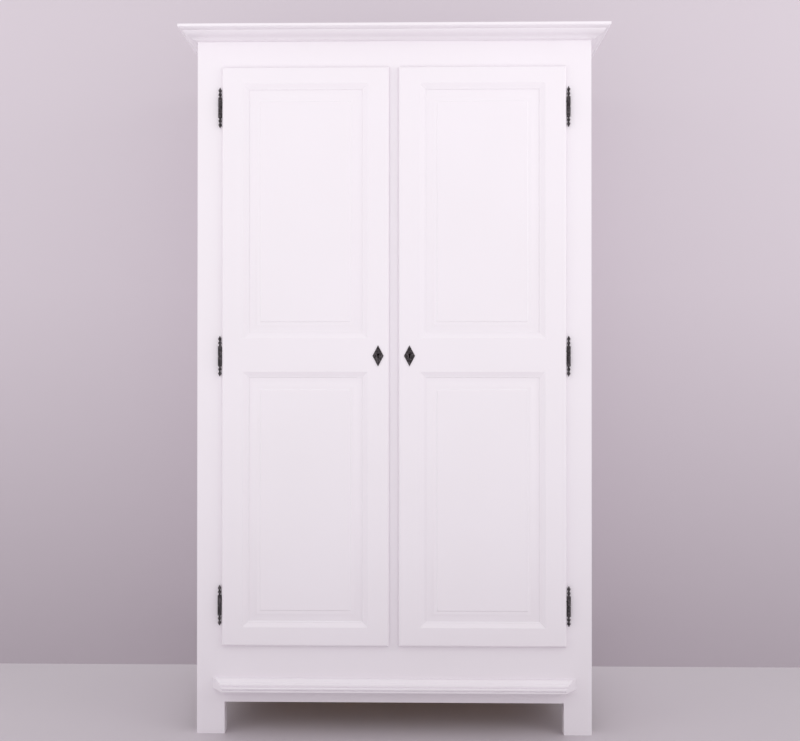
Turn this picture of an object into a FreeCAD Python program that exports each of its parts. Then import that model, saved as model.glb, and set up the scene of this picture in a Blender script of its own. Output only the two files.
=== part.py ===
"""White painted two-door wardrobe with a moulded cornice, a fixed centre post and panelled doors.

Frame of the part: +Z up, the doors face -Y, +X to the right, the origin on the floor
below the middle of the overall box. All sizes are in millimetres.
"""
import FreeCAD, Part
import os
import Sketcher
from types import SimpleNamespace

SIZES = {
    # overall box
    "overall_width": 1200,
    "overall_depth": 600,
    "overall_height": 1982,
    # cornice round the front and both sides
    "cornice_projection": 46,
    "cornice_height": 34,
    "cornice_edge": 6.7,
    # front frame
    "frame_thickness": 28,
    "stile_width": 78,
    "frieze_height": 74.5,
    "foot_height": 89,
    "door_gap": 26,
    "frame_tenon_length": 30,
    "frame_tenon_thickness": 10,
    "frame_tenon_shoulder": 12,
    "mullion_tenon_length": 25,
    # moulding along the bottom rail
    "plinth_lap": 34,
    "plinth_projection": 34,
    "plinth_height": 29,
    "plinth_bottom": 127.5,
    "plinth_lip": 3.5,
    # sides, back, top and floor
    "side_thickness": 20,
    "side_tongue_thickness": 8,
    "side_tongue_length": 10,
    "post_width": 45,
    "post_depth": 45,
    "rear_rail_thickness": 22,
    "rear_top_rail_height": 80,
    "rear_tenon_length": 25,
    "rear_tenon_thickness": 10,
    "rear_tenon_shoulder": 12,
    "muntin_width": 60,
    "back_panel_thickness": 8,
    "back_groove_depth": 9,
    "top_board_thickness": 18,
    "floor_board_thickness": 18,
    "floor_batten_width": 25,
    "floor_batten_height": 28,
    # shelf and hanging rail
    "hat_space_height": 354,
    "shelf_thickness": 18,
    "shelf_setback": 22,
    "shelf_batten_width": 20,
    "shelf_batten_height": 32,
    "rail_radius": 14,
    "rail_clearance": 9,
    "rail_fit": 0.3,
    "socket_cup_radius": 19,
    "socket_cup_length": 15,
    "socket_flange_radius": 31,
    "socket_flange_thickness": 4,
    "socket_screw_circle_radius": 25,
    # doors
    "door_bottom": 247.5,
    "door_thickness": 22,
    "door_stand": 12,
    "door_lip_overlap": 7,
    "door_lip_gap": 0.8,
    "door_rebate_clearance": 2,
    "door_edge_radius": 7,
    "door_stile_flat": 59.5,
    "door_top_rail_flat": 47.5,
    "door_lock_rail_flat": 93.5,
    "door_bottom_rail_flat": 54,
    "sticking_width": 16.5,
    "sticking_depth": 5,
    "sticking_fillet_width": 1.4,
    "sticking_cove_width": 2.8,
    "sticking_cove_depth": 1.4,
    "panel_groove_front": 7.2,
    "panel_groove_width": 6.4,
    "panel_clearance": 0.2,
    "panel_tongue_length": 8,
    "panel_drop": 2,
    "panel_play": 1,
    "panel_bevel_width": 23,
    "panel_shoulder_width": 8,
    "panel_step_width": 2.5,
    "panel_step_height": 1.4,
    "panel_field_depth": 2.5,
    # lift-off hinges
    "hinge_length": 113,
    "hinge_radius": 5.4,
    "hinge_chamfer": 1.4,
    "hinge_edge_gap": 0.8,
    "hinge_inset": 114,
    "hinge_pin_radius": 2.8,
    "hinge_pin_fit": 0.05,
    "hinge_knuckle_gap": 0.3,
    "hinge_stem_radius": 2.5,
    "hinge_frame_stem_depth": 22,
    "hinge_door_stem_depth": 34,
    "finial_ball_radius": 4.6,
    "finial_neck_radius": 2.4,
    "finial_point_radius": 3.9,
    "finial_tip_radius": 1,
    # locks and keyhole plates
    "lock_rise": 1,
    "keyhole_backset": 31,
    "keyhole_rise": 3.5,
    "keyhole_radius": 3.1,
    "keyhole_slot_width": 3.6,
    "keyhole_slot_length": 9,
    "escutcheon_width": 31,
    "escutcheon_height": 59,
    "escutcheon_thickness": 1.6,
    "escutcheon_pin_inset": 6.5,
    "escutcheon_pin_radius": 0.8,
    "escutcheon_pin_head_radius": 1.7,
    "escutcheon_pin_head_height": 0.8,
    "escutcheon_pin_length": 9,
    "lock_case_width": 48,
    "lock_case_height": 62,
    "lock_case_depth": 8.6,
    "lock_case_wall": 1.2,
    "lock_cover_margin": 9,
    "lock_cover_thickness": 1.5,
    "bolt_length": 34,
    "bolt_thickness": 5,
    "bolt_height": 12,
    "bolt_rise": 8,
    "bolt_setback": 0.5,
    "bolt_fit": 0.15,
    "bolt_throw": 10,
    "strike_thickness": 1.3,
    "strike_width": 20,
    "strike_height": 52,
    "strike_play": 1,
    # wood screws, large for battens and sockets, small for locks and strikes
    "large_screw_radius": 2,
    "large_screw_head_radius": 4,
    "large_screw_head_depth": 2.6,
    "batten_screw_length": 36,
    "socket_screw_length": 18,
    "batten_screw_inset": 45,
    "small_screw_radius": 1.4,
    "small_screw_head_radius": 2.7,
    "small_screw_head_depth": 1.5,
    "small_screw_length": 10,
    "small_screw_inset": 5,
}

# where the parts of a hinge end or centre, as shares of its length from one tip
TIP_BALL_SHARE = 0.072
INNER_BALL_SHARE = 0.174
BARREL_SHARE = 0.246
# how far the pin reaches into each knuckle
PIN_REACH_SHARE = 0.8

# how far the panels' hollow bevels bow in, as a share of their rise
PANEL_HOLLOW_SHARE = 0.25

# the cornice's bed, hollow and rounds, as shares of its projection and height
CORNICE_REACH_SHARES = (0.04, 0.23, 0.48, 0.76)
CORNICE_LEVEL_SHARES = (0.08, 0.285, 0.6)
CORNICE_BULGE_SHARES = (0.12, 0.12, 0.14)

# the bottom moulding's quirk, bead, reed and round, as shares of its projection and height
PLINTH_REACH_SHARES = (0.88, 0.93, 0.74, 0.62, 0.54, 0.04)
PLINTH_LEVEL_SHARES = (0.2, 0.4, 0.77, 1)
PLINTH_BULGE_SHARES = (0.22, 0.3, 0.45)

QUARTER_TURN = 90
HALF_TURN = 180
LEFT, RIGHT = -1, 1
SIDE_NAMES = {LEFT: "left", RIGHT: "right"}

doc = FreeCAD.newDocument("Wardrobe")
sheet = doc.addObject("Spreadsheet::Sheet", "Sizes")
for row, (alias, value) in enumerate(SIZES.items(), start=1):
    sheet.set(f"A{row}", alias)
    sheet.set(f"B{row}", str(value))
    sheet.setAlias(f"B{row}", alias)
doc.recompute()


class Size:
    """A length that knows its value and the expression that binds it to the sheet."""

    def __init__(self, text, value):
        self.text = text
        self.value = float(value)

    @staticmethod
    def of(item):
        return item if isinstance(item, Size) else Size(repr(item), item)

    def _join(self, other, sign, value):
        return Size(f"({self.text} {sign} {Size.of(other).text})", value)

    def __add__(self, other):
        return self._join(other, "+", self.value + Size.of(other).value)

    def __radd__(self, other):
        return Size.of(other) + self

    def __sub__(self, other):
        return self._join(other, "-", self.value - Size.of(other).value)

    def __rsub__(self, other):
        return Size.of(other) - self

    def __mul__(self, other):
        return self._join(other, "*", self.value * Size.of(other).value)

    def __rmul__(self, other):
        return Size.of(other) * self

    def __truediv__(self, other):
        return self._join(other, "/", self.value / Size.of(other).value)

    def __neg__(self):
        return self * -1


s = SimpleNamespace(**{alias: Size(f"Sizes.{alias}", sheet.get(alias)) for alias in SIZES})

# levels and planes that several parts share
carcass_half = s.overall_width / 2 - s.cornice_projection
face_y = s.cornice_projection - s.overall_depth / 2
back_y = s.overall_depth / 2
inner_face_y = face_y + s.frame_thickness
frame_top = s.overall_height - s.top_board_thickness
cornice_bottom = s.overall_height - s.cornice_height
opening_outer = carcass_half - s.stile_width
door_outer = opening_outer + s.door_lip_overlap
door_top = cornice_bottom - s.frieze_height
door_height = door_top - s.door_bottom
door_middle = s.door_bottom + door_height / 2
opening_bottom = s.door_bottom + s.door_lip_overlap
opening_top = door_top - s.door_lip_overlap
mullion_half = s.door_gap / 2 + s.door_lip_overlap
side_inner = carcass_half - s.side_thickness
post_inner = carcass_half - s.post_width
post_front_y = back_y - s.post_depth
rear_rail_y = back_y - s.rear_rail_thickness
floor_bottom = opening_bottom - s.floor_board_thickness
door_front_y = face_y - s.door_stand
door_back_y = door_front_y + s.door_thickness
door_rebate = s.door_lip_overlap + s.door_rebate_clearance
lock_z = door_middle + s.lock_rise
keyhole_z = lock_z + s.keyhole_rise
lock_edge = s.door_gap / 2 + door_rebate
keyhole_x = s.door_gap / 2 + s.keyhole_backset
bolt_low = lock_z + s.bolt_rise
bolt_y = door_back_y - (s.lock_case_depth - s.lock_case_wall) / 2
hinge_x = door_outer + s.hinge_edge_gap + s.hinge_radius
hinge_y = (face_y - s.door_lip_gap + door_front_y) / 2
hinge_heights = (s.door_bottom + s.hinge_inset, door_middle, door_top - s.hinge_inset)
shelf_top = frame_top - s.hat_space_height
shelf_bottom = shelf_top - s.shelf_thickness
rail_z = shelf_bottom - s.shelf_batten_height - s.rail_clearance - s.socket_flange_radius
rail_y = (inner_face_y + rear_rail_y) / 2

X_AXIS = FreeCAD.Vector(1, 0, 0)
Y_AXIS = FreeCAD.Vector(0, 1, 0)
Z_AXIS = FreeCAD.Vector(0, 0, 1)

# turns that carry a local +Z onto each direction
TURNS = {
    "+x": FreeCAD.Rotation(Y_AXIS, QUARTER_TURN),
    "-x": FreeCAD.Rotation(Y_AXIS, -QUARTER_TURN),
    "+y": FreeCAD.Rotation(X_AXIS, -QUARTER_TURN),
    "-y": FreeCAD.Rotation(X_AXIS, QUARTER_TURN),
    "+z": FreeCAD.Rotation(),
    "-z": FreeCAD.Rotation(X_AXIS, HALF_TURN),
}

nodes = []


def bind(obj, **sizes):
    """Ties properties of an object to sizes of the sheet."""
    for prop, size in sizes.items():
        obj.setExpression(prop, Size.of(size).text)


def place(obj, x, y, z, turn=None):
    """Puts an object at a named place, turned if need be."""
    if turn is not None:
        obj.Placement = FreeCAD.Placement(FreeCAD.Vector(), turn)
    for axis, size in zip("xyz", (x, y, z)):
        obj.setExpression(f"Placement.Base.{axis}", Size.of(size).text)
    return obj


def node(obj, label):
    """Keeps an object as a sub-part of the wardrobe under its own name."""
    obj.Label = label
    nodes.append(obj)
    return obj


def box(x, y, z):
    """A block between two planes along each axis."""
    block = doc.addObject("Part::Box", "Block")
    bind(block, Length=x[1] - x[0], Width=y[1] - y[0], Height=z[1] - z[0])
    return place(block, x[0], y[0], z[0])


def rod(radius, length, start, direction):
    """A cylinder from a start point along a direction."""
    cylinder = doc.addObject("Part::Cylinder", "Rod")
    bind(cylinder, Radius=radius, Height=length)
    return place(cylinder, *start, TURNS[direction])


def cone(first_radius, last_radius, length, start, direction):
    """A cone from a start point along a direction."""
    taper = doc.addObject("Part::Cone", "Taper")
    bind(taper, Radius1=first_radius, Radius2=last_radius, Height=length)
    return place(taper, *start, TURNS[direction])


def ball(radius, centre):
    """A sphere about a centre."""
    sphere = doc.addObject("Part::Sphere", "Ball")
    bind(sphere, Radius=radius)
    return place(sphere, *centre)


def wedge(y, near_x, far_x, near_z, far_z):
    """A block along Y whose near and far ends are different rectangles."""
    block = doc.addObject("Part::Wedge", "Wedge")
    bind(block, Ymin=y[0], Ymax=y[1], Xmin=near_x[0], Xmax=near_x[1], Zmin=near_z[0], Zmax=near_z[1])
    bind(block, X2min=far_x[0], X2max=far_x[1], Z2min=far_z[0], Z2max=far_z[1])
    return block


def fuse(*shapes):
    """One solid from several that touch or overlap."""
    whole = doc.addObject("Part::MultiFuse", "Whole")
    whole.Shapes = list(shapes)
    whole.Refine = True
    return whole


def common(first, second):
    """What two shapes share."""
    shared = doc.addObject("Part::Common", "Shared")
    shared.Base = first
    shared.Tool = second
    shared.Refine = True
    return shared


def cut(base, *tools):
    """A shape less one or more others."""
    rest = doc.addObject("Part::Cut", "Rest")
    rest.Base = base
    rest.Tool = tools[0] if len(tools) == 1 else group(*tools)
    rest.Refine = True
    return rest


def group(*shapes):
    """Separate solids kept together."""
    together = doc.addObject("Part::Compound", "Group")
    together.Links = list(shapes)
    return together


def across(side, near, far):
    """A span along X on one side, from distances to the middle plane."""
    return (near, far) if side == RIGHT else (-far, -near)


def both_ways(half):
    """A span along X that the middle plane halves."""
    return (-half, half)


def arc_middle(start, end, rise):
    """The middle point of an arc that rises to the right of its chord."""
    x0, y0, x1, y1 = (Size.of(item).value for item in (*start, *end))
    chord = ((x1 - x0) ** 2 + (y1 - y0) ** 2) ** 0.5
    share = rise.value / chord
    return FreeCAD.Vector((x0 + x1) / 2 + (y1 - y0) * share, (y0 + y1) / 2 - (x1 - x0) * share, 0)


def is_hollow(point):
    """True where the stretch after a point is an arc that curves inwards."""
    return len(point) == 3 and point[2].value < 0


def outline(body, points):
    """A closed sketch; a third entry at a point makes the next stretch an arc of that rise."""
    plane = next(item for item in body.Origin.OriginFeatures if item.Role == "XY_Plane")
    sketch = body.newObject("Sketcher::SketchObject", "Outline")
    sketch.AttachmentSupport = (plane, "")
    sketch.MapMode = "FlatFace"
    for index, point in enumerate(points):
        after = points[(index + 1) % len(points)]
        start, end = (FreeCAD.Vector(Size.of(p[0]).value, Size.of(p[1]).value, 0) for p in (point, after))
        if len(point) == 2:
            sketch.addGeometry(Part.LineSegment(start, end))
            continue
        middle = arc_middle(point[:2], after[:2], point[2])
        ends = (end, start) if is_hollow(point) else (start, end)
        sketch.addGeometry(Part.Arc(ends[0], middle, ends[1]))
    for index, point in enumerate(points):
        later = (index + 1) % len(points)
        last = 1 if is_hollow(point) else 2
        first = 2 if is_hollow(points[later]) else 1
        sketch.addConstraint(Sketcher.Constraint("Coincident", index, last, later, first))
    for index, point in enumerate(points):
        hold_point(sketch, index, point)
    for index, point in enumerate(points):
        if len(point) == 3:
            hold_radius(sketch, index, point, points[(index + 1) % len(points)])
    return sketch


def hold_point(sketch, index, point):
    """Pins a point of the outline to its named place."""
    position = 2 if is_hollow(point) else 1
    for kind, axis, size in zip(("DistanceX", "DistanceY"), (-2, -1), point[:2]):
        if Size.of(size).value == 0:
            sketch.addConstraint(Sketcher.Constraint("PointOnObject", index, position, axis))
            continue
        number = sketch.addConstraint(Sketcher.Constraint(kind, -1, 1, index, position, size.value))
        sketch.setExpression(f"Constraints[{number}]", size.text)


def hold_radius(sketch, index, point, after):
    """Ties an arc's radius to its chord and its rise."""
    run = Size.of(after[0]) - point[0]
    climb = Size.of(after[1]) - point[1]
    rise = point[2]
    bow = -rise if is_hollow(point) else rise
    radius = (run * run + climb * climb) / (bow * 8) + bow / 2
    number = sketch.addConstraint(Sketcher.Constraint("Radius", index, radius.value))
    sketch.setExpression(f"Constraints[{number}]", radius.text)


def moulding(points, length, start, axes):
    """A length of moulding with its outline in the plane of the first two axes."""
    body = doc.addObject("PartDesign::Body", "Moulding")
    sketch = outline(body, points)
    pad = body.newObject("PartDesign::Pad", "Length")
    pad.Profile = sketch
    pad.setExpression("Length", length.text)
    sketch.Visibility = False
    first, second = axes
    turn = FreeCAD.Rotation(first, second, first.cross(second), "XYZ")
    return place(body, *start, turn)


def screw(radius, head_radius, head_depth, length, head, direction):
    """A countersunk wood screw driven from its head's face."""
    shank = rod(radius, length, head, direction)
    return fuse(shank, cone(head_radius, radius, head_depth, head, direction))


def small_screw(head, direction):
    """A screw of a lock or strike."""
    return screw(s.small_screw_radius, s.small_screw_head_radius, s.small_screw_head_depth,
                 s.small_screw_length, head, direction)


def large_screw(length, head, direction):
    """A screw of a batten or rail socket."""
    return screw(s.large_screw_radius, s.large_screw_head_radius, s.large_screw_head_depth,
                 length, head, direction)


# Front frame: top rail, bottom rail and centre post, tenoned together and into the stiles

def tenon_y():
    """The depth that the tenons of the front frame take, in the middle of its thickness."""
    middle = face_y + s.frame_thickness / 2
    return (middle - s.frame_tenon_thickness / 2, middle + s.frame_tenon_thickness / 2)


def front_rail(low, high):
    """A rail of the front frame with a tenon at each end."""
    rail = box(both_ways(opening_outer), (face_y, inner_face_y), (low, high))
    tenon = box(both_ways(opening_outer + s.frame_tenon_length), tenon_y(),
                (low + s.frame_tenon_shoulder, high - s.frame_tenon_shoulder))
    return fuse(rail, tenon)


def centre_mullion():
    """The fixed post between the doors, with a tenon at each end."""
    post = box(both_ways(mullion_half), (face_y, inner_face_y), (opening_bottom, opening_top))
    tenon = box(both_ways(mullion_half - s.frame_tenon_shoulder), tenon_y(),
                (opening_bottom - s.mullion_tenon_length, opening_top + s.mullion_tenon_length))
    return fuse(post, tenon)


def bolt_mortise(side):
    """The pocket in the centre post that takes a bolt."""
    end = lock_edge + s.bolt_setback - s.bolt_throw - s.strike_play
    depth = across(side, end, mullion_half)
    half_thickness = s.bolt_thickness / 2 + s.strike_play
    return box(depth, (bolt_y - half_thickness, bolt_y + half_thickness),
               (bolt_low - s.strike_play, bolt_low + s.bolt_height + s.strike_play))


def strike_middle():
    """The height of a strike's middle, level with the bolt."""
    return bolt_low + s.bolt_height / 2


def strike_plate(side):
    """A steel plate let into the centre post's side, with a slot for the bolt."""
    middle = strike_middle()
    centre_y = face_y + s.frame_thickness / 2
    return box(across(side, mullion_half - s.strike_thickness, mullion_half),
               (centre_y - s.strike_width / 2, centre_y + s.strike_width / 2),
               (middle - s.strike_height / 2, middle + s.strike_height / 2))


def strike_screws(side):
    """Two screws that hold a strike plate."""
    direction = "-x" if side == RIGHT else "+x"
    reach = s.strike_height / 2 - s.small_screw_inset
    heights = (strike_middle() - reach, strike_middle() + reach)
    middle_y = face_y + s.frame_thickness / 2
    return [small_screw((mullion_half * side, middle_y, height), direction) for height in heights]


top_rail = front_rail(opening_top, frame_top)
bottom_rail = front_rail(s.foot_height, opening_bottom)
mullion = centre_mullion()
strike_fixings = {side: strike_screws(side) for side in SIDE_NAMES}
strikes = {side: strike_plate(side) for side in SIDE_NAMES}
slotted_strikes = [cut(strikes[side], bolt_mortise(side), *strike_fixings[side]) for side in SIDE_NAMES]
node(group(*slotted_strikes), "strike_plates")
node(cut(top_rail, mullion), "top_rail")
node(cut(bottom_rail, mullion), "bottom_rail")
mullion_cuts = [tool for side in SIDE_NAMES
                for tool in (strikes[side], bolt_mortise(side), *strike_fixings[side])]
node(cut(mullion, *mullion_cuts), "centre_mullion")


# Sides and back

def side_span(side):
    """Where a side board lies along X."""
    return across(side, side_inner, carcass_half)


def side_panel(side):
    """A side board with tongues into the front stile and the rear post."""
    low, high = s.foot_height, frame_top
    board = box(side_span(side), (inner_face_y, post_front_y), (low, high))
    middle = (side_inner + carcass_half) / 2
    half = s.side_tongue_thickness / 2
    tongue_y = (inner_face_y - s.side_tongue_length, post_front_y + s.side_tongue_length)
    return fuse(board, box(across(side, middle - half, middle + half), tongue_y, (low, high)))


def rear_rail(low, high):
    """A rail of the back with a tenon at each end."""
    rail = box(both_ways(post_inner), (rear_rail_y, back_y), (low, high))
    tenon = box(both_ways(post_inner + s.rear_tenon_length), rear_tenon_y(),
                (low + s.rear_tenon_shoulder, high - s.rear_tenon_shoulder))
    return fuse(rail, tenon)


def rear_tenon_y():
    """The depth that the tenons of the back take."""
    middle = (rear_rail_y + back_y) / 2
    return (middle - s.rear_tenon_thickness / 2, middle + s.rear_tenon_thickness / 2)


def rear_muntin(low, high):
    """The upright in the middle of the back, tenoned into its rails."""
    upright = box(both_ways(s.muntin_width / 2), (rear_rail_y, back_y), (low, high))
    tenon = box(both_ways(s.muntin_width / 2 - s.rear_tenon_shoulder), rear_tenon_y(),
                (low - s.rear_tenon_length, high + s.rear_tenon_length))
    return fuse(upright, tenon)


def back_panel(side, low, high):
    """A thin board in the grooves of the back."""
    middle = (rear_rail_y + back_y) / 2
    half = s.back_panel_thickness / 2
    span = across(side, s.muntin_width / 2 - s.back_groove_depth, post_inner + s.back_groove_depth)
    return box(span, (middle - half, middle + half), (low - s.back_groove_depth, high + s.back_groove_depth))


rear_opening_low = opening_bottom
rear_opening_high = frame_top - s.rear_top_rail_height
back_panels = {side: back_panel(side, rear_opening_low, rear_opening_high) for side in SIDE_NAMES}
rear_top_rail = rear_rail(rear_opening_high, frame_top)
rear_bottom_rail = rear_rail(s.foot_height, rear_opening_low)
muntin = rear_muntin(rear_opening_low, rear_opening_high)
node(cut(rear_top_rail, muntin, *back_panels.values()), "rear_top_rail")
node(cut(rear_bottom_rail, muntin, *back_panels.values()), "rear_bottom_rail")
node(cut(muntin, *back_panels.values()), "rear_muntin")

batten_y = (inner_face_y, post_front_y)


def batten(side, width, low, high):
    """A strip along a side board that carries a board."""
    return box(across(side, side_inner - width, side_inner), batten_y, (low, high))


def batten_screws(side, width, low, high):
    """Three screws that hold a batten to its side board."""
    direction = "+x" if side == RIGHT else "-x"
    first = batten_y[0] + s.batten_screw_inset
    last = batten_y[1] - s.batten_screw_inset
    places = (first, (first + last) / 2, last)
    return [large_screw(s.batten_screw_length, ((side_inner - width) * side, y, (low + high) / 2), direction)
            for y in places]


floor_batten_size = (s.floor_batten_width, floor_bottom - s.floor_batten_height, floor_bottom)
shelf_batten_size = (s.shelf_batten_width, shelf_bottom - s.shelf_batten_height, shelf_bottom)
floor_screws = {side: batten_screws(side, *floor_batten_size) for side in SIDE_NAMES}
shelf_screws = {side: batten_screws(side, *shelf_batten_size) for side in SIDE_NAMES}
for label, size, screws in (("floor", floor_batten_size, floor_screws),
                            ("shelf", shelf_batten_size, shelf_screws)):
    node(group(*[cut(batten(side, *size), *screws[side]) for side in SIDE_NAMES]), f"{label}_battens")


# Hanging rail between two sockets on the side boards

def inward(side):
    """The direction from a side board towards the middle."""
    return "-x" if side == RIGHT else "+x"


def outward(side):
    """The direction from the middle towards a side board."""
    return "+x" if side == RIGHT else "-x"


def socket_screws(side):
    """Two screws that hold a rail socket."""
    start = (side_inner - s.socket_flange_thickness) * side
    offsets = (-s.socket_screw_circle_radius, s.socket_screw_circle_radius)
    return [large_screw(s.socket_screw_length, (start, rail_y, rail_z + offset), outward(side))
            for offset in offsets]


def rail_socket(side):
    """A round cup with a flange that holds one end of the rail."""
    start = (side_inner * side, rail_y, rail_z)
    flange = rod(s.socket_flange_radius, s.socket_flange_thickness, start, inward(side))
    cup = rod(s.socket_cup_radius, s.socket_cup_length, start, inward(side))
    mouth = ((side_inner - s.socket_flange_thickness) * side, rail_y, rail_z)
    bore = rod(s.rail_radius + s.rail_fit, s.socket_cup_length, mouth, inward(side))
    return cut(fuse(flange, cup), bore)


socket_fixings = {side: socket_screws(side) for side in SIDE_NAMES}
rail_half = side_inner - s.socket_flange_thickness
node(rod(s.rail_radius, rail_half * 2, (-rail_half, rail_y, rail_z), "+x"), "hanging_rail")
node(group(*[cut(rail_socket(side), *socket_fixings[side]) for side in SIDE_NAMES]), "rail_sockets")
for side, side_name in SIDE_NAMES.items():
    screws = (*floor_screws[side], *shelf_screws[side], *socket_fixings[side])
    node(cut(side_panel(side), *screws), f"{side_name}_side_panel")
large_screws = [item for side in SIDE_NAMES
                for item in (*floor_screws[side], *shelf_screws[side], *socket_fixings[side])]
node(group(*large_screws), "batten_and_socket_screws")
node(group(*strike_fixings[LEFT], *strike_fixings[RIGHT]), "strike_screws")


# Hinges: the frame half carries the pin, the door half lifts off

def finial(x, y, tip, inward_sign):
    """Two balls and a blunt point at one end of a hinge."""
    length = s.hinge_length
    direction = "+z" if inward_sign > 0 else "-z"
    centres = [tip + length * (share * inward_sign) for share in (TIP_BALL_SHARE, INNER_BALL_SHARE)]
    reach = length * TIP_BALL_SHARE
    point = cone(s.finial_tip_radius, s.finial_point_radius, reach, (x, y, tip), direction)
    neck_start = centres[0]
    neck = rod(s.finial_neck_radius, length * (BARREL_SHARE - TIP_BALL_SHARE), (x, y, neck_start), direction)
    balls = [ball(s.finial_ball_radius, (x, y, centre)) for centre in centres]
    return [point, neck, *balls]


def knuckle(x, start, length, sign):
    """The barrel of one half of a hinge, chamfered at both ends."""
    direction = "+z" if sign > 0 else "-z"
    inset = s.hinge_chamfer
    end_radius = s.hinge_radius - inset
    first = cone(end_radius, s.hinge_radius, inset, (x, hinge_y, start), direction)
    barrel = rod(s.hinge_radius, length - inset * 2, (x, hinge_y, start + inset * sign), direction)
    last_z = start + (length - inset) * sign
    last = cone(s.hinge_radius, end_radius, inset, (x, hinge_y, last_z), direction)
    return [first, barrel, last]


def hinge_half(side, middle, upper):
    """One half of a hinge: knuckle, finial and the stem that is driven into the wood."""
    x = hinge_x * side
    sign = 1 if upper else -1
    reach = s.hinge_length * (0.5 - BARREL_SHARE)
    gap = s.hinge_knuckle_gap if upper else 0
    tip = middle + s.hinge_length / 2 * sign
    stem_z = middle + reach / 2 * sign
    if upper:
        length = s.hinge_radius + s.hinge_edge_gap + s.hinge_door_stem_depth
        stem = rod(s.hinge_stem_radius, length, (x, hinge_y, stem_z), inward(side))
    else:
        length = face_y - hinge_y + s.hinge_frame_stem_depth
        stem = rod(s.hinge_stem_radius, length, (x, hinge_y, stem_z), "+y")
    barrel = knuckle(x, middle + gap, reach - gap, sign)
    return fuse(*barrel, stem, *finial(x, hinge_y, tip, -sign))


def hinge_pin(side, middle, extra):
    """The pin of a hinge, fast in the lower knuckle and free in the upper one."""
    reach = s.hinge_length * (0.5 - BARREL_SHARE) * PIN_REACH_SHARE
    start = (hinge_x * side, hinge_y, middle - reach)
    return rod(s.hinge_pin_radius + extra, reach * 2 + extra, start, "+z")


pins = []
frame_halves = {}
door_halves = {}
for side in SIDE_NAMES:
    pins += [hinge_pin(side, height, 0) for height in hinge_heights]
    frame_halves[side] = [cut(hinge_half(side, height, False), hinge_pin(side, height, 0))
                          for height in hinge_heights]
    door_halves[side] = [cut(hinge_half(side, height, True), hinge_pin(side, height, s.hinge_pin_fit))
                         for height in hinge_heights]
node(group(*pins), "hinge_pins")
for side, side_name in SIDE_NAMES.items():
    node(group(*frame_halves[side]), f"{side_name}_frame_hinge_halves")
    node(group(*door_halves[side]), f"{side_name}_door_hinge_halves")


# Uprights that reach the floor

def front_stile(side):
    """A front upright whose lower end is the front foot."""
    upright = box(across(side, opening_outer, carcass_half), (face_y, inner_face_y), (0, frame_top))
    return cut(upright, top_rail, bottom_rail, side_panel(side), *frame_halves[side])


def rear_post(side):
    """A rear upright whose lower end is the rear foot."""
    upright = box(across(side, post_inner, carcass_half), (post_front_y, back_y), (0, frame_top))
    return cut(upright, rear_top_rail, rear_bottom_rail, side_panel(side), back_panels[side])


for side, side_name in SIDE_NAMES.items():
    node(front_stile(side), f"{side_name}_front_stile")
    node(rear_post(side), f"{side_name}_rear_post")
    node(back_panels[side], f"{side_name}_back_panel")


# Boards

def post_blocks():
    """The space that both rear posts take."""
    return [box(across(side, post_inner, carcass_half), (post_front_y, back_y), (0, frame_top))
            for side in SIDE_NAMES]


floor_board = box(both_ways(side_inner), (inner_face_y, rear_rail_y), (floor_bottom, opening_bottom))
node(cut(floor_board, *post_blocks()), "floor_board")
shelf = box(both_ways(side_inner), (inner_face_y + s.shelf_setback, rear_rail_y),
            (shelf_bottom, shelf_top))
node(cut(shelf, *post_blocks()), "hat_shelf")
node(box(both_ways(carcass_half), (face_y, back_y), (frame_top, s.overall_height)), "top_board")


# Cornice, mitred at the front corners

def bulges(levels, shares):
    """How far the arcs between neighbouring levels bow out."""
    return [(high - low) * share for low, high, share in zip(levels, levels[1:], shares)]


def cornice_outline():
    """Bed, underside, hollow, lower round, upper round and top edge, outwards and upwards."""
    run, rise = s.cornice_projection, s.cornice_height
    bed, hollow_foot, lower_foot, upper_foot = [run * share for share in CORNICE_REACH_SHARES]
    levels = [*[rise * share for share in CORNICE_LEVEL_SHARES], rise - s.cornice_edge]
    hollow, lower, upper = bulges(levels, CORNICE_BULGE_SHARES)
    return [
        (0, 0),
        (bed, 0),
        (hollow_foot, levels[0], -hollow),
        (lower_foot, levels[1], lower),
        (upper_foot, levels[2], upper),
        (run, levels[3]),
        (run, rise),
        (0, rise),
    ]


cornice_z = (cornice_bottom, s.overall_height)
cornice_plan = wedge((face_y - s.cornice_projection, face_y), both_ways(s.overall_width / 2),
                     both_ways(carcass_half), cornice_z, cornice_z)
front_blank = moulding(cornice_outline(), s.overall_width, (s.overall_width / 2, face_y, cornice_bottom),
                       (-Y_AXIS, Z_AXIS))
left_blank = moulding(cornice_outline(), s.overall_depth,
                      (-carcass_half, face_y - s.cornice_projection, cornice_bottom), (-X_AXIS, Z_AXIS))
right_blank = moulding(cornice_outline(), s.overall_depth, (carcass_half, back_y, cornice_bottom),
                       (X_AXIS, Z_AXIS))
node(common(front_blank, cornice_plan), "cornice_front")
node(cut(left_blank, cornice_plan), "cornice_left")
node(cut(right_blank, cornice_plan), "cornice_right")


# Reeded moulding along the bottom rail, its ends cut back at an angle

def plinth_outline():
    """Lower edge, quirk, bead, reed and sloping round, upwards and inwards."""
    run, rise, lip = s.plinth_projection, s.plinth_height, s.plinth_lip
    quirk, nose, reed_foot, reed_head, round_foot, round_head = [run * share for share in PLINTH_REACH_SHARES]
    levels = [rise * share for share in PLINTH_LEVEL_SHARES]
    bead, reed, slope = bulges(levels, PLINTH_BULGE_SHARES)
    return [
        (0, 0),
        (run, 0),
        (run, lip),
        (quirk, lip),
        (quirk, levels[0]),
        (nose, levels[0], bead),
        (nose, levels[1]),
        (reed_foot, levels[1], reed),
        (reed_head, levels[2]),
        (round_foot, levels[2], slope),
        (round_head, rise),
        (0, rise),
    ]


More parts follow.
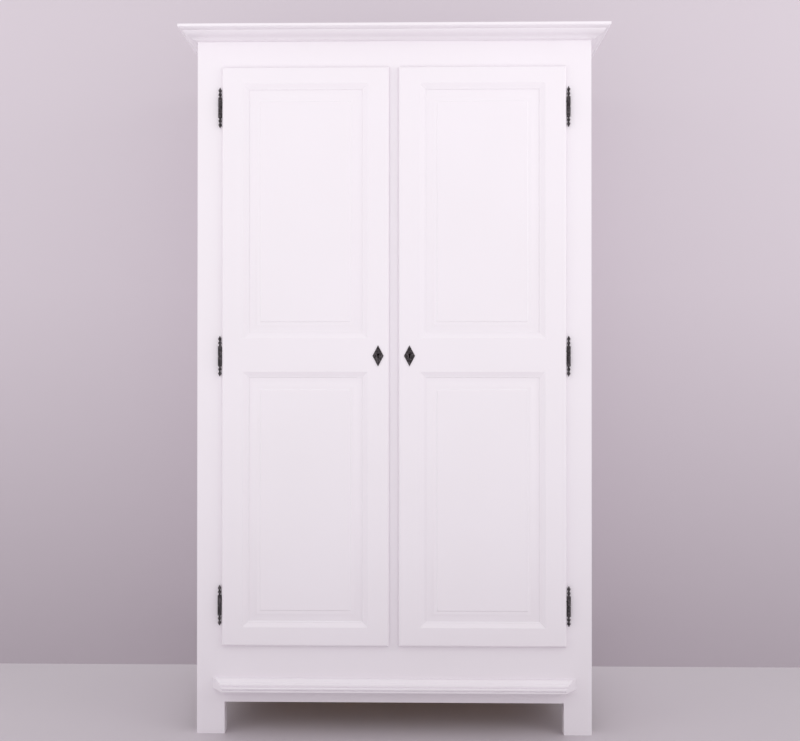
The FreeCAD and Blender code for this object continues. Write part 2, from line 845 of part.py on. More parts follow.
plinth_z = (s.plinth_bottom, s.plinth_bottom + s.plinth_height)
plinth_half = opening_outer + s.plinth_lap
plinth_plan = wedge((face_y - s.plinth_projection, face_y),
                    both_ways(plinth_half - s.plinth_projection), both_ways(plinth_half),
                    plinth_z, plinth_z)
plinth_blank = moulding(plinth_outline(), plinth_half * 2, (plinth_half, face_y, s.plinth_bottom),
                        (-Y_AXIS, Z_AXIS))
node(common(plinth_blank, plinth_plan), "plinth_moulding")


# Doors

def door_span(side, near=0, far=0):
    """Where a door lies along X, drawn in by a distance at its inner and outer edge."""
    return across(side, s.door_gap / 2 + near, door_outer - far)


def door_blank(side):
    """The outside of a whole door: a lip with eased front edges and the part inside the opening."""
    lip = box(door_span(side), (door_front_y, face_y - s.door_lip_gap), (s.door_bottom, door_top))
    eased = doc.addObject("Part::Fillet", "Eased")
    eased.Base = lip
    doc.recompute()
    front = [number for number, edge in enumerate(lip.Shape.Edges, start=1)
             if edge.BoundBox.YMax < lip.Shape.BoundBox.Center.y]
    radius = min(s.door_edge_radius.value, lip.Shape.BoundBox.YLength)
    eased.Edges = [(number, radius, radius) for number in front]
    inside = box(door_span(side, door_rebate, door_rebate), (face_y - s.door_lip_gap, door_back_y),
                 (s.door_bottom + door_rebate, door_top - door_rebate))
    return fuse(eased, inside)


groove_depth = s.panel_tongue_length + s.panel_drop + s.panel_play
groove_back = s.panel_groove_front + s.panel_groove_width
cove_depth = s.sticking_depth + s.sticking_cove_depth


def edge_section(flat):
    """A stile or outer rail: outer edge, face, moulded edge with a fillet and cove, and panel groove."""
    inner = flat + s.sticking_width
    cove = inner - s.sticking_cove_width
    return [
        (0, 0),
        (flat, 0),
        (cove - s.sticking_fillet_width, s.sticking_depth),
        (cove, s.sticking_depth),
        (inner, cove_depth),
        (inner, s.panel_groove_front),
        (inner - groove_depth, s.panel_groove_front),
        (inner - groove_depth, groove_back),
        (inner, groove_back),
        (inner, s.door_thickness),
        (0, s.door_thickness),
    ]


def middle_section(flat):
    """A middle rail: moulded and grooved along both edges."""
    far = flat + s.sticking_width * 2
    far_cove = far - s.sticking_cove_width
    return [
        (0, cove_depth),
        (s.sticking_cove_width, s.sticking_depth),
        (s.sticking_cove_width + s.sticking_fillet_width, s.sticking_depth),
        (s.sticking_width, 0),
        (s.sticking_width + flat, 0),
        (far_cove - s.sticking_fillet_width, s.sticking_depth),
        (far_cove, s.sticking_depth),
        (far, cove_depth),
        (far, s.panel_groove_front),
        (far - groove_depth, s.panel_groove_front),
        (far - groove_depth, groove_back),
        (far, groove_back),
        (far, s.door_thickness),
        (0, s.door_thickness),
        (0, groove_back),
        (groove_depth, groove_back),
        (groove_depth, s.panel_groove_front),
        (0, s.panel_groove_front),
    ]


def door_stile(span, at_left):
    """An upright of a door, as long as the door."""
    section = edge_section(s.door_stile_flat)
    if at_left:
        return moulding(section, door_height, (span[0], door_front_y, s.door_bottom), (X_AXIS, Y_AXIS))
    return moulding(section, door_height, (span[1], door_front_y, door_top), (-X_AXIS, Y_AXIS))


def door_rails(span):
    """The top, lock and bottom rails before their ends are fitted to the stiles."""
    left, right = span[0] + s.door_stile_flat, span[1] - s.door_stile_flat
    length = right - left
    top = moulding(edge_section(s.door_top_rail_flat), length, (left, door_front_y, door_top),
                   (-Z_AXIS, Y_AXIS))
    lock = moulding(middle_section(s.door_lock_rail_flat), length,
                    (right, door_front_y, lock_rail_low - s.sticking_width), (Z_AXIS, Y_AXIS))
    bottom = moulding(edge_section(s.door_bottom_rail_flat), length, (right, door_front_y, s.door_bottom),
                      (Z_AXIS, Y_AXIS))
    return {"top_rail": top, "lock_rail": lock, "bottom_rail": bottom}


panel_opening = (door_height - s.door_top_rail_flat - s.door_lock_rail_flat - s.door_bottom_rail_flat) / 2
lower_opening_low = s.door_bottom + s.door_bottom_rail_flat
lock_rail_low = lower_opening_low + panel_opening
upper_opening_low = lock_rail_low + s.door_lock_rail_flat


def inset(span, distance):
    """A span drawn in at both ends."""
    return (span[0] + distance, span[1] - distance)


def panel_section(length):
    """A fielded panel: tongue, hollow bevel, shoulder, step and flat field, the same at both ends."""
    front = s.panel_groove_front + s.panel_clearance
    shoulder = s.panel_field_depth + s.panel_step_height
    hollow = (front - shoulder) * PANEL_HOLLOW_SHARE
    head = s.panel_tongue_length + s.panel_bevel_width
    step = head + s.panel_shoulder_width
    field = step + s.panel_step_width
    return [
        (0, front),
        (s.panel_tongue_length, front, -hollow),
        (head, shoulder),
        (step, shoulder),
        (field, s.panel_field_depth),
        (length - field, s.panel_field_depth),
        (length - step, shoulder),
        (length - head, shoulder, -hollow),
        (length - s.panel_tongue_length, front),
        (length, front),
        (length, groove_back - s.panel_clearance),
        (0, groove_back - s.panel_clearance),
    ]


def raised_panel(span, low):
    """A fielded panel that sits low in its grooves."""
    left, right = inset(span, s.door_stile_flat + s.sticking_width - s.panel_tongue_length)
    foot, head = inset((low, low + panel_opening), s.sticking_width - s.panel_tongue_length)
    wide, tall = right - left, head - foot
    bottom = foot - s.panel_drop
    along = moulding(panel_section(tall), wide, (right, door_front_y, bottom), (Z_AXIS, Y_AXIS))
    upright = moulding(panel_section(wide), tall, (left, door_front_y, bottom), (X_AXIS, Y_AXIS))
    return common(along, upright)


def keyhole(side, deep):
    """A round hole with a slot below it, through from the front."""
    start_y = door_front_y - s.escutcheon_thickness
    hole = rod(s.keyhole_radius, deep, (keyhole_x * side, start_y, keyhole_z), "+y")
    half = s.keyhole_slot_width / 2
    centre = keyhole_x * side
    slot = box((centre - half, centre + half), (start_y, start_y + deep),
               (keyhole_z - s.keyhole_slot_length, keyhole_z))
    return fuse(hole, slot)


def escutcheon(side):
    """A flat diamond plate over the keyhole."""
    wide, tall = s.escutcheon_width, s.escutcheon_height
    corners = [(wide / 2, 0), (wide, tall / 2), (wide / 2, tall), (0, tall / 2)]
    start = (keyhole_x * side - wide / 2, door_front_y, lock_z - tall / 2)
    return moulding(corners, s.escutcheon_thickness, start, (X_AXIS, Z_AXIS))


def escutcheon_pins(side):
    """Two round-headed pins through the plate into the stile."""
    reach = s.escutcheon_height / 2 - s.escutcheon_pin_inset
    plate_y = door_front_y - s.escutcheon_thickness
    made = []
    for height in (lock_z - reach, lock_z + reach):
        start = (keyhole_x * side, plate_y, height)
        shank = rod(s.escutcheon_pin_radius, s.escutcheon_pin_length, start, "+y")
        head = cone(s.escutcheon_pin_head_radius, s.escutcheon_pin_radius, s.escutcheon_pin_head_height,
                    start, "-y")
        made.append(fuse(shank, head))
    return made


def lock_case_block(side):
    """The outside of a lock case."""
    span = across(side, lock_edge, lock_edge + s.lock_case_width)
    half = s.lock_case_height / 2
    return box(span, (door_back_y - s.lock_case_depth, door_back_y), (lock_z - half, lock_z + half))


def lock_case(side):
    """A steel box open to the back, with a slot for the bolt and a keyhole."""
    wall = s.lock_case_wall
    half = s.lock_case_height / 2 - wall
    span = across(side, lock_edge + wall, lock_edge + s.lock_case_width - wall)
    room = box(span, (door_back_y - s.lock_case_depth + wall, door_back_y), (lock_z - half, lock_z + half))
    slot_half = s.bolt_thickness / 2 + s.bolt_fit
    slot = box(across(side, lock_edge, lock_edge + wall), (bolt_y - slot_half, bolt_y + slot_half),
               (bolt_low - s.bolt_fit, bolt_low + s.bolt_height + s.bolt_fit))
    through = s.door_thickness + s.escutcheon_thickness - s.lock_case_depth + wall
    return cut(lock_case_block(side), room, slot, keyhole(side, through))


def lock_cover(side):
    """The plate that closes a lock case at the door's back."""
    span = across(side, lock_edge, lock_edge + s.lock_case_width + s.lock_cover_margin)
    half = s.lock_case_height / 2 + s.lock_cover_margin
    return box(span, (door_back_y, door_back_y + s.lock_cover_thickness), (lock_z - half, lock_z + half))


def lock_screws(side):
    """Four screws through the margins of a lock's cover."""
    face = door_back_y + s.lock_cover_thickness
    reach = s.lock_case_height / 2 + s.lock_cover_margin / 2
    columns = (lock_edge + s.small_screw_inset, lock_edge + s.lock_case_width + s.lock_cover_margin / 2)
    return [small_screw((column * side, face, lock_z + reach * way), "-y")
            for column in columns for way in (-1, 1)]


def lock_bolt(side):
    """The sliding bolt, drawn back inside the door's edge."""
    start = lock_edge + s.bolt_setback
    half = s.bolt_thickness / 2
    return box(across(side, start, start + s.bolt_length), (bolt_y - half, bolt_y + half),
               (bolt_low, bolt_low + s.bolt_height))


def door(side, side_name):
    """All the parts of one door and its lock."""
    prefix = f"{side_name}_door"
    span = door_span(side)
    blank = door_blank(side)
    left_stile, right_stile = door_stile(span, True), door_stile(span, False)
    hinge_raw, lock_raw = (left_stile, right_stile) if side == LEFT else (right_stile, left_stile)
    pins_here = escutcheon_pins(side)
    screws = lock_screws(side)
    case_block = lock_case_block(side)
    hole = keyhole(side, s.door_thickness + s.escutcheon_thickness)
    hinge_stile = cut(common(hinge_raw, blank), *door_halves[side])
    lock_stile = cut(common(lock_raw, blank), case_block, hole, *pins_here, *screws)
    node(hinge_stile, f"{prefix}_hinge_stile")
    node(lock_stile, f"{prefix}_lock_stile")
    rails = door_rails(span)
    rails["lock_rail"] = cut(rails["lock_rail"], case_block, *screws)
    for rail_name, raw in rails.items():
        node(cut(common(raw, blank), left_stile, right_stile), f"{prefix}_{rail_name}")
    node(raised_panel(span, upper_opening_low), f"{prefix}_upper_panel")
    node(raised_panel(span, lower_opening_low), f"{prefix}_lower_panel")
    node(cut(escutcheon(side), hole, *pins_here), f"{prefix}_escutcheon")
    node(group(*pins_here), f"{prefix}_escutcheon_pins")
    node(lock_case(side), f"{prefix}_lock_case")
    node(cut(lock_cover(side), *screws), f"{prefix}_lock_cover")
    node(group(*screws), f"{prefix}_lock_screws")
    node(lock_bolt(side), f"{prefix}_lock_bolt")


for side, side_name in SIDE_NAMES.items():
    door(side, side_name)

doc.recompute()
faults = [f"{item.Label}: {item.State}" for item in doc.Objects
          if "Invalid" in item.State or "Error" in item.State]
for item in nodes:
    if item.Shape.isNull() or not item.Shape.isValid():
        faults.append(f"{item.Label}: no valid shape")
if faults:
    raise RuntimeError("; ".join(faults))

os.makedirs("parts", exist_ok=True)
for item in nodes:
    item.Shape.exportStep(f"parts/{item.Label}.step")
print(f"{len(nodes)} sub-parts written")
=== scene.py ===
"""Looks of a white painted two-door wardrobe: camera, room, lamps and finishes.

Units are metres, in the frame of the solids: +Z up, the doors face -Y, +X to the right.
"""
import math

import bpy
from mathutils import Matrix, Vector


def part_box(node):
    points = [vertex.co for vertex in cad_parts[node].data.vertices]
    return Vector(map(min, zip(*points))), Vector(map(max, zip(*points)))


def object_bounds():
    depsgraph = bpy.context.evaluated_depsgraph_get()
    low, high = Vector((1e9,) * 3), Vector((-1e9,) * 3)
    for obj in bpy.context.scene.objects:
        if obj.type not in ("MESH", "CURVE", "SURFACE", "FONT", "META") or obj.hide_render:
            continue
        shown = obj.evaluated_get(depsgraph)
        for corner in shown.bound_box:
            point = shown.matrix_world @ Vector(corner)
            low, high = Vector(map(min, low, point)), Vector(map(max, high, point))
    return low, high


X, Y, Z = range(3)

# camera: angles in radians, focal length in pixels of the picture, sensor in millimetres
CAMERA_PLACE = (0.0509, -2.654, 1.0105)
CAMERA_YAW = 0.0140
CAMERA_PITCH = 0.0042
CAMERA_ROLL = -0.0003
IMAGE_WIDTH = 800
FOCAL_PIXELS = 854.1
SENSOR_WIDTH = 36

# Colours are linear. A noise is its scale, detail and, if it has one, distortion. A bump is its height and
# strength. A range is two values of a pattern, and then the two values that they are stretched to, if these
# aren't nought and one. A squeeze draws a pattern out along one axis.

# room
ROOM_HALF = 8
FLOOR_FRONT = -1.6
FLOOR_COLOUR = (0.560, 0.505, 0.550)
FLOOR_DARK_SHARE = 0.95
FLOOR_CLOUD = (1.3, 3)
FLOOR_ROUGHNESS = 0.55
WALL_GAP = 0.012
WALL_HEIGHT = 5
WALL_COLOUR = (0.605, 0.540, 0.595)
# painted shade: the wall is coloured darker towards the floor and fades to its plain colour by the given
# height
WALL_SHADED_LOW_COLOUR = (0.515, 0.458, 0.505)
WALL_SHADE_FADE_HEIGHT = 1.3

# lamps, and the strengths of the surround above and below the horizon
LAMP_TARGET = (0.0, -0.25, 1.0)
LAMP_SIZE = 1.5
RIGHT_LAMP_PLACE = (3.0, -1.6, 2.2)
RIGHT_LAMP_WATTS = 15
LEFT_LAMP_PLACE = (-3.0, -1.6, 2.2)
LEFT_LAMP_WATTS = 10
SURROUND_COLOUR = FLOOR_COLOUR
SURROUND_ABOVE = 0.90
SURROUND_BELOW = 1.37
HORIZON_BLEND = 0.05

# white paint
PAINT_COLOUR = (0.850, 0.795, 0.850)
PAINT_WARM_COLOUR = (0.838, 0.784, 0.834)
PAINT_CLOUD = (2.4, 2)
PAINT_CLOUD_RANGE = (0.35, 0.65)
PAINT_STREAKS = (420, 3)
PAINT_STREAK_SQUEEZE = 0.04
PAINT_RIPPLE = (90, 2)
PAINT_RIPPLE_SHARE = 0.6
PAINT_ROUGHNESS_RANGE = (0.3, 0.7, 0.38, 0.47)
PAINT_BUMP = (0.00008, 0.5)

# bare pine, in glued boards that each have a grain of their own
PINE_PALE_COLOUR = (0.700, 0.500, 0.290)
PINE_RING_COLOUR = (0.520, 0.300, 0.130)
PINE_KNOT_COLOUR = (0.200, 0.090, 0.035)
BOARD_WIDTH = 0.095
BOARD_SHIFT = (3.7, 5.3, 2.9)
RING_DRIFT = (3.2, 2, 0.4)
RING_SQUEEZE = 0.07
RING_TURNS = 120
RING_SHARPNESS = 2.6
RING_SHARE = 0.62
FIBRES = (520, 4)
FIBRE_SQUEEZE = 0.012
FIBRE_RANGE = (0.2, 0.7, 0.55, 1)
KNOT_SCALE = 3.4
KNOT_SQUEEZE = 0.55
KNOT_TURNS = 9
KNOT_BEND_RANGE = (0.03, 0.2, 1, 0)
KNOT_CORE_RANGE = (0.035, 0.055, 0.85, 0)
PINE_ROUGHNESS_RANGE = (0.2, 0.8, 0.5, 0.68)
PINE_BUMP = (0.00012, 0.5)

# blackened iron
IRON_COLOUR = (0.052, 0.047, 0.050)
IRON_WORN_COLOUR = (0.190, 0.174, 0.182)
IRON_PATCHES = (160, 4, 0.3)
IRON_PATCH_RANGE = (0.45, 0.75)
IRON_GRAIN = (1400, 3)
IRON_METALLIC = 0.75
IRON_ROUGHNESS_RANGE = (0.3, 0.75, 0.55, 0.38)
IRON_BUMP = (0.00015, 0.6)

# rolled steel of the locks and strikes, and the darker steel of the screws
STEEL_COLOURS = ((0.52, 0.51, 0.50), (0.38, 0.37, 0.36))
SCREW_COLOURS = ((0.22, 0.205, 0.185), (0.13, 0.12, 0.11))
STEEL_CLOUD = (60, 3)
STEEL_CLOUD_RANGE = (0.3, 0.7)
STEEL_SCRATCHES = (2600, 3)
STEEL_SCRATCH_SQUEEZE = 0.03
STEEL_ROUGHNESS_RANGE = (0.3, 0.7, 0.28, 0.42)
STEEL_BUMP = (0.00003, 0.5)

# painted shade inside the keyholes: how far it reaches round the plate's middle and into the face of the
# cover
KEYHOLE_SHADE_COLOUR = (0.016, 0.012, 0.010)
KEYHOLE_SHADE_REACH = 0.0125
KEYHOLE_SHADE_SKIN = 0.0002

# rounded arrises
WOOD_ARRIS = 0.0007
METAL_ARRIS = 0.0002
ARRIS_SEGMENTS = 2
ARRIS_ANGLE = math.radians(32)
WELD_DISTANCE = 1e-6


def door_parts(*parts):
    """The nodes of these parts on both doors."""
    return [f"{side}_door_{part}" for side in ("left", "right") for part in parts]


# nodes by finish, the wooden ones also by the axis of their grain or brush strokes
PAINT_NODES = (
    ["top_rail", "bottom_rail", "cornice_front", "plinth_moulding", "top_board",
     *door_parts("top_rail", "lock_rail", "bottom_rail")],
    ["cornice_left", "cornice_right"],
    ["left_front_stile", "right_front_stile", "centre_mullion", "left_rear_post", "right_rear_post",
     "left_side_panel", "right_side_panel", *door_parts("hinge_stile", "upper_panel", "lower_panel")],
)
PINE_NODES = (
    ["floor_board", "hat_shelf", "rear_top_rail", "rear_bottom_rail", "hanging_rail", "rail_sockets"],
    ["floor_battens", "shelf_battens"],
    ["rear_muntin", "left_back_panel", "right_back_panel"],
)
LOCK_STILES = door_parts("lock_stile")
IRON_NODES = ["left_frame_hinge_halves", "right_frame_hinge_halves",
              *door_parts("hinge_halves", "escutcheon", "escutcheon_pins")]
STEEL_NODES = ["strike_plates", "hinge_pins", *door_parts("lock_bolt")]
SCREWS = ["strike_screws", "batten_and_socket_screws", *door_parts("lock_screws")]
LOCKS = door_parts("lock_case", "lock_cover")

# nodes that keep their sharp edges: painted joints that are filled flush, and the thin keyhole plates
SHARP_NODES = ["top_rail", "bottom_rail", "top_board", "left_front_stile", "right_front_stile",
               "centre_mullion", "left_side_panel", "right_side_panel",
               *door_parts("top_rail", "lock_rail", "bottom_rail", "hinge_stile", "lock_stile", "escutcheon")]


class Graph:
    """Builds one node tree from short calls."""

    def __init__(self, tree):
        self.tree = tree
        tree.nodes.clear()

    def feed(self, socket, value):
        """Links a socket to another node's socket, or sets it to a number, a vector or a colour."""
        if isinstance(value, bpy.types.NodeSocket):
            self.tree.links.new(value, socket)
        elif socket.type == "RGBA":
            socket.default_value = (*value, 1)
        else:
            socket.default_value = value

    def add(self, kind, settings=None, **inputs):
        """Adds a shader node with its settings, and with inputs by name, their spaces written as _."""
        node = self.tree.nodes.new("ShaderNode" + kind)
        for key, value in (settings or {}).items():
            setattr(node, key, value)
        for key, value in inputs.items():
            self.feed(node.inputs[key.replace("_", " ")], value)
        return node

    def maths(self, operation, first, second=0.0):
        node = self.add("Math", {"operation": operation})
        self.feed(node.inputs[0], first)
        self.feed(node.inputs[1], second)
        return node.outputs[0]

    def mix(self, share, first, second):
        """Mixes two colours, which are inputs 6 and 7 and output 2 of the Mix node."""
        node = self.add("Mix", {"data_type": "RGBA"})
        for index, value in ((0, share), (6, first), (7, second)):
            self.feed(node.inputs[index], value)
        return node.outputs[2]

    def mix_shaders(self, share, first, second):
        node = self.add("MixShader", Fac=share)
        self.feed(node.inputs[1], first.outputs[0])
        self.feed(node.inputs[2], second.outputs[0])
        return node.outputs[0]

    def stretch(self, value, low, high, to_low=0.0, to_high=1.0):
        node = self.add("MapRange", Value=value)
        for index, number in enumerate((low, high, to_low, to_high), start=1):
            node.inputs[index].default_value = number
        return node.outputs[0]

    def noise(self, place, scale, detail, distortion=0.0):
        node = self.add("TexNoise", Vector=place, Scale=scale, Detail=detail, Distortion=distortion)
        return node.outputs["Fac"]

    def bump(self, height, distance, strength):
        return self.add("Bump", Height=height, Distance=distance, Strength=strength).outputs[0]

    def place(self):
        """The object's own coordinates, which are those of the solids."""
        return self.add("TexCoord").outputs["Object"]

    def split(self, place):
        """The three outputs X, Y and Z of a place."""
        return self.add("SeparateXYZ", Vector=place).outputs

    def along(self, place, axis, squeeze):
        """A place squeezed along one axis, so that a pattern is drawn out that way."""
        scale = [squeeze if index == axis else 1 for index in range(3)]
        return self.add("Mapping", Vector=place, Scale=scale).outputs[0]

    def principled(self, colour, roughness, **inputs):
        """Ends the tree with a surface of this colour and roughness."""
        shader = self.add("BsdfPrincipled", Base_Color=colour, Roughness=roughness, **inputs)
        self.add("OutputMaterial", Surface=shader.outputs[0])


def new_material(name):
    material = bpy.data.materials.new(name)
    material.use_nodes = True
    return material, Graph(material.node_tree)


def glued_boards(graph, axis):
    """A place that is shifted from board to board, so that each has a grain of its own.

    Boards lie side by side across the grain, along X or Y. Wood whose grain runs along Y is one board.
    """
    place = graph.place()
    if axis == Y:
        return place
    crosswise = graph.split(place)["Y" if axis == X else "X"]
    board = graph.maths("ROUND", graph.maths("DIVIDE", crosswise, BOARD_WIDTH))
    shift = graph.add("VectorMath", {"operation": "SCALE"}, Vector=BOARD_SHIFT, Scale=board).outputs[0]
    return graph.add("Mapping", Vector=place, Location=shift).outputs[0]


def keyhole_shade_mask(graph, place, keyhole):
    """One inside the doors' two keyholes, where shade is painted, and nought elsewhere."""
    parts = graph.split(place)
    across = graph.maths("SUBTRACT", graph.maths("ABSOLUTE", parts["X"]), keyhole.x)
    up = graph.maths("SUBTRACT", parts["Z"], keyhole.z)
    square = graph.maths("ADD", graph.maths("MULTIPLY", across, across), graph.maths("MULTIPLY", up, up))
    near = graph.maths("LESS_THAN", square, KEYHOLE_SHADE_REACH ** 2)
    return graph.maths("MULTIPLY", near, graph.maths("LESS_THAN", parts["Y"], keyhole.y + KEYHOLE_SHADE_SKIN))


def paint(name, axis, keyhole=None):
    """Satin paint, brushed along one axis over planed wood, with painted shade inside the keyholes if one is
    given.
    """
    material, graph = new_material(name)
    place = graph.place()
    streaks = graph.noise(graph.along(place, axis, PAINT_STREAK_SQUEEZE), *PAINT_STREAKS)
    ripple = graph.maths("MULTIPLY", graph.noise(place, *PAINT_RIPPLE), PAINT_RIPPLE_SHARE)
    cloud = graph.stretch(graph.noise(place, *PAINT_CLOUD), *PAINT_CLOUD_RANGE)
    colour = graph.mix(cloud, PAINT_COLOUR, PAINT_WARM_COLOUR)
    if keyhole:
        # painted shade: the keyhole's bore is coloured near black
        colour = graph.mix(keyhole_shade_mask(graph, place, keyhole), colour, KEYHOLE_SHADE_COLOUR)
    graph.principled(colour, graph.stretch(streaks, *PAINT_ROUGHNESS_RANGE),
                     Normal=graph.bump(graph.maths("ADD", streaks, ripple), *PAINT_BUMP))
    return material


def pine(name, axis):
    """Planed pine with its growth rings, fibres and a few knots along one axis."""
    material, graph = new_material(name)
    place = glued_boards(graph, axis)
    knots = graph.add("TexVoronoi", Vector=graph.along(place, axis, KNOT_SQUEEZE), Scale=KNOT_SCALE)
    from_knot = knots.outputs["Distance"]
    drift = graph.noise(graph.along(place, axis, RING_SQUEEZE), *RING_DRIFT)
    turned = graph.maths("ADD", graph.maths("MULTIPLY", drift, RING_TURNS),
                         graph.maths("MULTIPLY", graph.stretch(from_knot, *KNOT_BEND_RANGE), KNOT_TURNS))
    rings = graph.stretch(graph.maths("SINE", turned), -1, 1)
    fibres = graph.noise(graph.along(place, axis, FIBRE_SQUEEZE), *FIBRES)
    late = graph.maths("MULTIPLY", graph.maths("POWER", rings, RING_SHARPNESS),
                       graph.stretch(fibres, *FIBRE_RANGE))
    wood = graph.mix(graph.maths("MULTIPLY", late, RING_SHARE), PINE_PALE_COLOUR, PINE_RING_COLOUR)
    colour = graph.mix(graph.stretch(from_knot, *KNOT_CORE_RANGE), wood, PINE_KNOT_COLOUR)
    graph.principled(colour, graph.stretch(fibres, *PINE_ROUGHNESS_RANGE),
                     Normal=graph.bump(graph.maths("ADD", fibres, late), *PINE_BUMP))
    return material


def iron(name):
    """Blackened iron, rubbed a little brighter in patches."""
    material, graph = new_material(name)
    place = graph.place()
    patches = graph.noise(place, *IRON_PATCHES)
    grain = graph.noise(place, *IRON_GRAIN)
    colour = graph.mix(graph.stretch(patches, *IRON_PATCH_RANGE), IRON_COLOUR, IRON_WORN_COLOUR)
    graph.principled(colour, graph.stretch(patches, *IRON_ROUGHNESS_RANGE), Metallic=IRON_METALLIC,
                     Normal=graph.bump(graph.maths("ADD", patches, grain), *IRON_BUMP))
    return material


def steel(name, colours, keyhole=None):
    """Rolled steel with fine scratches, with painted shade inside the keyholes if one is given."""
    material, graph = new_material(name)
    place = graph.place()
    scratches = graph.noise(graph.along(place, Z, STEEL_SCRATCH_SQUEEZE), *STEEL_SCRATCHES)
    cloud = graph.stretch(graph.noise(place, *STEEL_CLOUD), *STEEL_CLOUD_RANGE)
    colour = graph.mix(cloud, *colours)
    if keyhole:
        # painted shade: the cover is coloured near black where it shows through the keyhole
        colour = graph.mix(keyhole_shade_mask(graph, place, keyhole), colour, KEYHOLE_SHADE_COLOUR)
    graph.principled(colour, graph.stretch(scratches, *STEEL_ROUGHNESS_RANGE), Metallic=1.0,
                     Normal=graph.bump(scratches, *STEEL_BUMP))
    return material


def finish(names, material, arris):
    """Gives nodes their finish and, unless they stay sharp, rounds their edges a little."""
    for name in names:
        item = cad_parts[name]
        for slot in item.material_slots:
            slot.material = material
        if name in SHARP_NODES:
            continue
        weld = item.modifiers.new("weld", "WELD")
        weld.merge_threshold = WELD_DISTANCE
        bevel = item.modifiers.new("arris", "BEVEL")
        bevel.width = arris
        bevel.segments = ARRIS_SEGMENTS
        bevel.limit_method = "ANGLE"
        bevel.angle_limit = ARRIS_ANGLE
        bevel.harden_normals = True


def make_camera():
    data = bpy.data.cameras.new("camera")
    data.sensor_width = SENSOR_WIDTH
    data.lens = FOCAL_PIXELS / IMAGE_WIDTH * SENSOR_WIDTH
    camera = bpy.data.objects.new("camera", data)
    bpy.context.scene.collection.objects.link(camera)
    camera.location = CAMERA_PLACE
    camera.rotation_euler = (math.pi / 2 + CAMERA_PITCH, CAMERA_ROLL, CAMERA_YAW)
    bpy.context.scene.camera = camera


def make_world():
    """A soft surround that lights the object; what is seen of it is a plain pale tone."""
    world = bpy.data.worlds.new("studio")
    world.use_nodes = True
    bpy.context.scene.world = world
    graph = Graph(world.node_tree)
    climb = graph.split(graph.add("TexCoord").outputs["Generated"])["Z"]
    strength = graph.stretch(climb, -HORIZON_BLEND, HORIZON_BLEND, SURROUND_BELOW, SURROUND_ABOVE)
    light = graph.add("Background", Color=(1, 1, 1), Strength=strength)
    seen = graph.add("Background", Color=SURROUND_COLOUR, Strength=1.0)
    path = graph.add("LightPath").outputs
    rays = graph.maths("MAXIMUM", path["Is Camera Ray"],
                       graph.maths("MAXIMUM", path["Is Glossy Ray"], path["Is Transmission Ray"]))
    graph.add("OutputWorld", Surface=graph.mix_shaders(rays, light, seen))


def make_lamp(name, place, watts):
    """A square lamp that is aimed at the wardrobe and isn't seen itself."""
    data = bpy.data.lights.new(name, "AREA")
    data.shape = "SQUARE"
    data.size = LAMP_SIZE
    data.energy = watts
    lamp = bpy.data.objects.new(name, data)
    bpy.context.scene.collection.objects.link(lamp)
    lamp.location = place
    lamp.rotation_euler = (Vector(LAMP_TARGET) - lamp.location).to_track_quat("-Z", "Y").to_euler()
    lamp.visible_camera = False


def sheet(name, corners, material):
    """A flat piece of the room from its four corners."""
    mesh = bpy.data.meshes.new(name)
    mesh.from_pydata(corners, [], [(0, 1, 2, 3)])
    mesh.materials.append(material)
    item = bpy.data.objects.new(name, mesh)
    bpy.context.scene.collection.objects.link(item)
    return item


def make_floor():
    material, graph = new_material("floor_finish")
    dark = [value * FLOOR_DARK_SHARE for value in FLOOR_COLOUR]
    graph.principled(graph.mix(graph.noise(graph.place(), *FLOOR_CLOUD), FLOOR_COLOUR, dark), FLOOR_ROUGHNESS)
    half = ROOM_HALF
    corners = [(-half, FLOOR_FRONT, 0), (half, FLOOR_FRONT, 0), (half, half, 0), (-half, half, 0)]
    sheet("floor", corners, material)


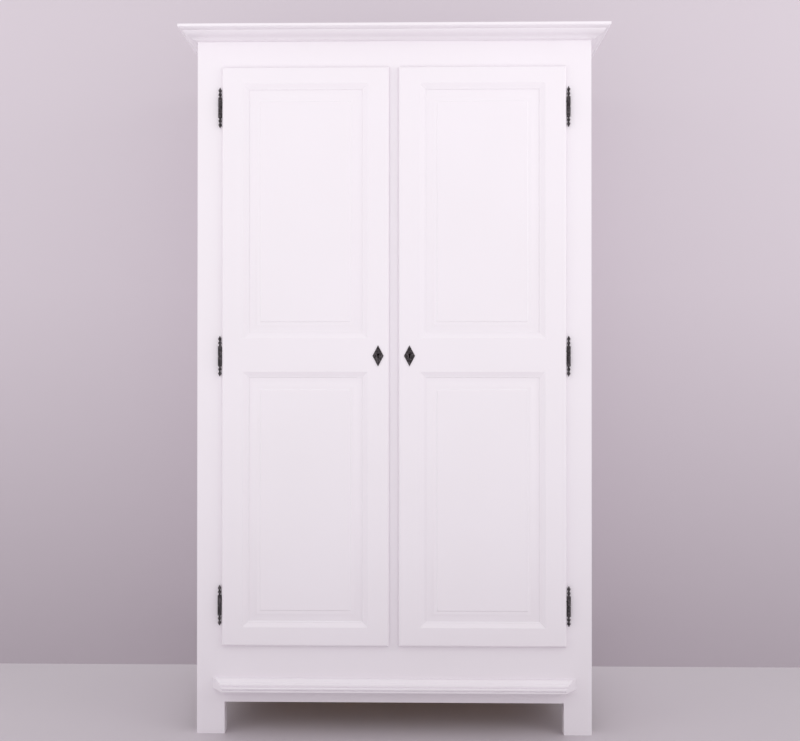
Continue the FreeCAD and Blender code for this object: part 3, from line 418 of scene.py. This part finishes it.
def make_wall(y):
    """A matt wall that is seen from the front only and takes no part in the lighting, with painted shade that
    darkens it towards the floor.
    """
    material, graph = new_material("wall_finish")
    geometry = graph.add("NewGeometry").outputs
    # painted shade: darker low on the wall, paler higher up
    rise = graph.stretch(graph.split(geometry["Position"])["Z"], 0, WALL_SHADE_FADE_HEIGHT)
    matt = graph.add("BsdfDiffuse", Color=graph.mix(rise, WALL_SHADED_LOW_COLOUR, WALL_COLOUR))
    clear = graph.add("BsdfTransparent")
    graph.add("OutputMaterial", Surface=graph.mix_shaders(geometry["Backfacing"], matt, clear))
    half = ROOM_HALF
    corners = [(-half, y, 0), (half, y, 0), (half, y, WALL_HEIGHT), (-half, y, WALL_HEIGHT)]
    wall = sheet("wall", corners, material)
    wall.visible_shadow = False
    wall.visible_diffuse = False


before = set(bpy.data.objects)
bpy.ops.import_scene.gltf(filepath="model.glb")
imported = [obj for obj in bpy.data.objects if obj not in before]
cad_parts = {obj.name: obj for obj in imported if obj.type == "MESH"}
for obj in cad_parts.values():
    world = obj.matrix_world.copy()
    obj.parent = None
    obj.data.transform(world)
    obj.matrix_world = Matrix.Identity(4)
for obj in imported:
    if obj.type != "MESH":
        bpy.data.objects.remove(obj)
cad_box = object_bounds()
make_camera()
make_world()
make_lamp("right_lamp", RIGHT_LAMP_PLACE, RIGHT_LAMP_WATTS)
make_lamp("left_lamp", LEFT_LAMP_PLACE, LEFT_LAMP_WATTS)
make_floor()
make_wall(cad_box[1].y + WALL_GAP)

# the right keyhole's inner end: behind the middle of its plate, at the lock's cover; the left one mirrors it
plate_low, plate_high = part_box("right_door_escutcheon")
keyhole_end = (plate_low + plate_high) / 2
keyhole_end.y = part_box("right_door_lock_cover")[0].y

for axis, letter in enumerate("xyz"):
    finish(PAINT_NODES[axis], paint("white_paint_" + letter, axis), WOOD_ARRIS)
    finish(PINE_NODES[axis], pine("bare_pine_" + letter, axis), WOOD_ARRIS)
# the lock stiles and lock cases get painted shade inside their keyholes
finish(LOCK_STILES, paint("white_paint_keyhole_shade", Z, keyhole_end), WOOD_ARRIS)
finish(IRON_NODES, iron("dark_iron"), METAL_ARRIS)
finish(STEEL_NODES, steel("steel", STEEL_COLOURS), METAL_ARRIS)
finish(SCREWS, steel("steel_screws", SCREW_COLOURS), METAL_ARRIS)
finish(LOCKS, steel("steel_keyhole_shade", STEEL_COLOURS, keyhole_end), METAL_ARRIS)

bpy.context.scene.view_settings.view_transform = "Standard"
